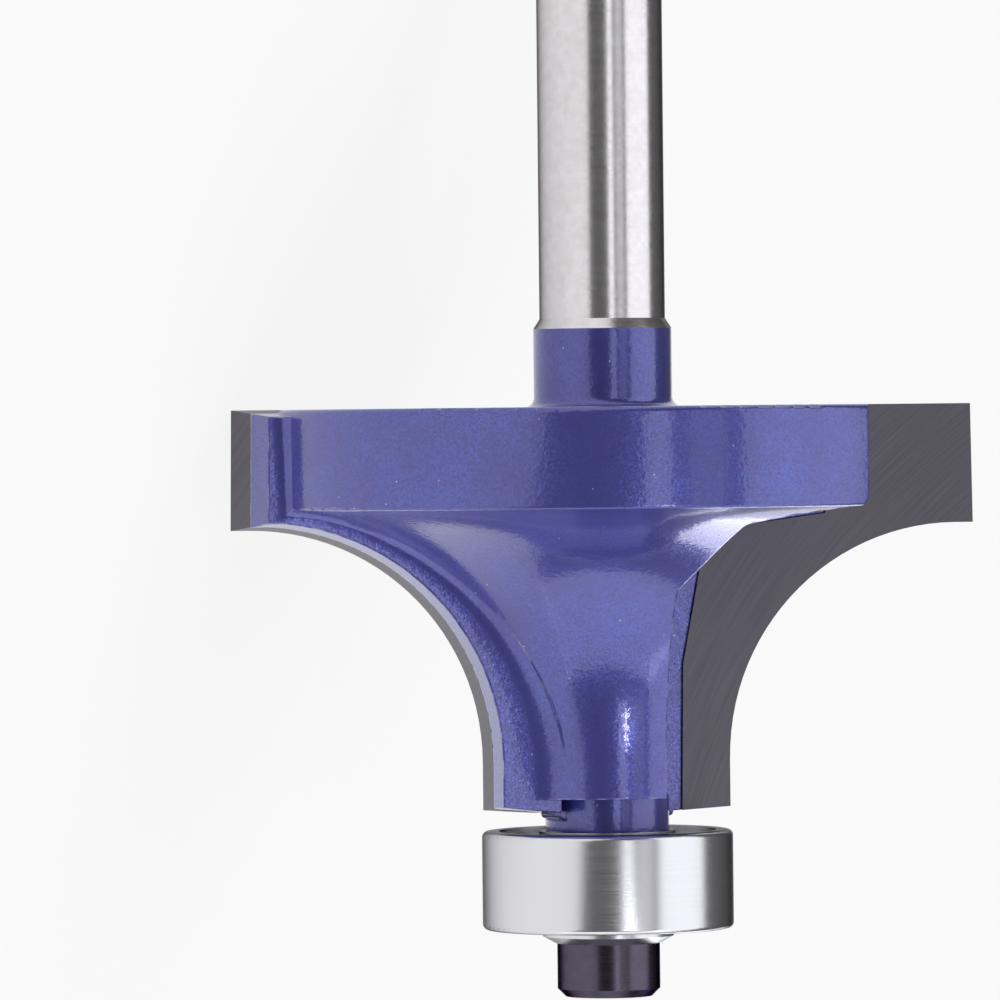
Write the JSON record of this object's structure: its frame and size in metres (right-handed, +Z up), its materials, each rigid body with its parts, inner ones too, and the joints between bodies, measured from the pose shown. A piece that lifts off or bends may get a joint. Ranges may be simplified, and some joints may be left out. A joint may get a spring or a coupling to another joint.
{
  "type": "router bit",
  "caption": "Bearing-guided rounding-over router bit with painted steel body, carbide tips, straight shank and a shielded pilot bearing held by a socket screw.",
  "frame": {"origin": "centre of the footprint, on the surface that the bit lies on", "axes": "+Z up; the bit's axis lies in the XZ plane, shank end down at -X, pilot bearing up at +X"},
  "size_m": [0.064, 0.034, 0.0325],
  "materials": {
    "painted_body": "metallic indigo paint on the disc, wings, core and neck; shank and collar ground bright",
    "carbide": "ground cemented carbide, dark grey with fine grinding lines",
    "bearing_steel": "ground and polished bearing steel",
    "cage_steel": "pressed steel strip",
    "shield_steel": "pressed steel, satin",
    "bright_washer": "turned bright steel",
    "black_oxide": "black oxide"
  },
  "bodies": {
    "cutter": {"cutter_body": "painted_body", "carbide_tip_1": "carbide", "carbide_tip_2": "carbide", "bearing_inner_ring": "bearing_steel", "pilot_washer": "bright_washer", "pilot_screw": "black_oxide"},
    "outer_ring": {"bearing_outer_ring": "bearing_steel", "shield_upper": "shield_steel", "shield_lower": "shield_steel", "snap_ring_upper": "shield_steel", "snap_ring_lower": "shield_steel"},
    "cage": {"cage_upper": "cage_steel", "cage_lower": "cage_steel", "cage_rivets": "cage_steel"},
    "ball_1": {"bearing_ball_1": "bearing_steel"},
    "ball_2": {"bearing_ball_2": "bearing_steel"},
    "ball_3": {"bearing_ball_3": "bearing_steel"},
    "ball_4": {"bearing_ball_4": "bearing_steel"},
    "ball_5": {"bearing_ball_5": "bearing_steel"},
    "ball_6": {"bearing_ball_6": "bearing_steel"},
    "ball_7": {"bearing_ball_7": "bearing_steel"}
  },
  "joints": [
    {"name": "bearing_spin", "type": "hinge", "parent": "cutter", "child": "outer_ring", "pos_m": [0.02569, 0, 0.0233], "axis": [0.9406, 0, 0.3395], "continuous": true},
    {"name": "cage_orbit", "type": "hinge", "parent": "cutter", "child": "cage", "pos_m": [0.02569, 0, 0.0233], "axis": [0.9406, 0, 0.3395], "continuous": true},
    {"name": "ball_1_spin", "type": "hinge", "parent": "cage", "child": "ball_1", "pos_m": [0.02443, 0.00229, 0.0268], "axis": [0.9406, 0, 0.3395], "continuous": true},
    {"name": "ball_2_spin", "type": "hinge", "parent": "cage", "child": "ball_2", "pos_m": [0.02551, 0.00433, 0.0238], "axis": [0.9406, 0, 0.3395], "continuous": true},
    {"name": "ball_3_spin", "type": "hinge", "parent": "cage", "child": "ball_3", "pos_m": [0.02673, 0.00312, 0.02042], "axis": [0.9406, 0, 0.3395], "continuous": true},
    {"name": "ball_4_spin", "type": "hinge", "parent": "cage", "child": "ball_4", "pos_m": [0.02716, -0.00045, 0.01922], "axis": [0.9406, 0, 0.3395], "continuous": true},
    {"name": "ball_5_spin", "type": "hinge", "parent": "cage", "child": "ball_5", "pos_m": [0.02649, -0.00367, 0.02108], "axis": [0.9406, 0, 0.3395], "continuous": true},
    {"name": "ball_6_spin", "type": "hinge", "parent": "cage", "child": "ball_6", "pos_m": [0.02521, -0.00413, 0.02462], "axis": [0.9406, 0, 0.3395], "continuous": true},
    {"name": "ball_7_spin", "type": "hinge", "parent": "cage", "child": "ball_7", "pos_m": [0.02429, -0.00148, 0.02716], "axis": [0.9406, 0, 0.3395], "continuous": true}
  ],
  "couplings": [
    {"joint": "cage_orbit", "follows": "bearing_spin", "ratio": 0.63635},
    {"joint": "ball_1_spin", "follows": "bearing_spin", "ratio": 1.6972},
    {"joint": "ball_2_spin", "follows": "bearing_spin", "ratio": 1.6972},
    {"joint": "ball_3_spin", "follows": "bearing_spin", "ratio": 1.6972},
    {"joint": "ball_4_spin", "follows": "bearing_spin", "ratio": 1.6972},
    {"joint": "ball_5_spin", "follows": "bearing_spin", "ratio": 1.6972},
    {"joint": "ball_6_spin", "follows": "bearing_spin", "ratio": 1.6972},
    {"joint": "ball_7_spin", "follows": "bearing_spin", "ratio": 1.6972}
  ]
}
